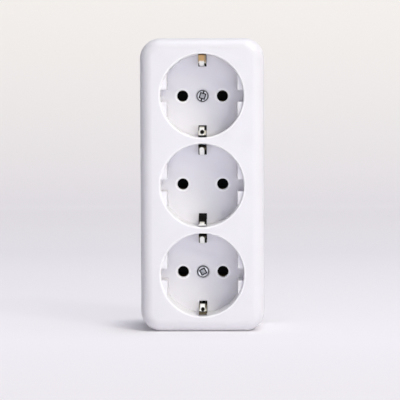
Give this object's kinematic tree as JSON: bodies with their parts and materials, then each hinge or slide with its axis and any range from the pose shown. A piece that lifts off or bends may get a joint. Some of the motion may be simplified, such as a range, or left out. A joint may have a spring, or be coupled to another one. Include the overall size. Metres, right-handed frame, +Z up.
{
  "type": "surface socket outlet",
  "caption": "Upright white surface-mounted wall outlet: round recessed sockets in a row with pin holes, side guides and brass earth clips, over a screwed base with sprung contacts.",
  "frame": {"origin": "centre of the base's back face, which lies on the wall", "axes": "+Z up along the row of sockets, -Y out of the wall towards the room, +X to the right seen from the room"},
  "size_m": [0.0592, 0.04, 0.1388],
  "materials": {
    "cover_plastic": "satin white moulding",
    "base_plastic": "matt dark thermoset",
    "contact_brass": "stamped, plain",
    "clip_brass": "stamped, pale, slightly worn",
    "zinc_steel": "bright zinc plated",
    "spring_steel": "oiled spring steel"
  },
  "bodies": {
    "root": {"cover": "cover_plastic", "base": "base_plastic", "line_strip": "contact_brass", "neutral_strip": "contact_brass", "earth_bar": "contact_brass", "earth_rivets": "contact_brass", "cover_screws": "zinc_steel", "cover_nuts": "zinc_steel", "terminal_screws": "zinc_steel", "bar_screw": "zinc_steel", "line_spring_upper": "spring_steel", "neutral_spring_upper": "spring_steel", "earth_clip_upper": "clip_brass", "line_spring_middle": "spring_steel", "neutral_spring_middle": "spring_steel", "earth_clip_middle": "clip_brass", "line_spring_lower": "spring_steel", "neutral_spring_lower": "spring_steel", "earth_clip_lower": "clip_brass", "clamp_line_upper": "zinc_steel", "clamp_neutral_upper": "zinc_steel", "clamp_earth_upper": "zinc_steel", "clamp_line_lower": "zinc_steel", "clamp_neutral_lower": "zinc_steel", "clamp_earth_lower": "zinc_steel"}
  },
  "joints": []
}
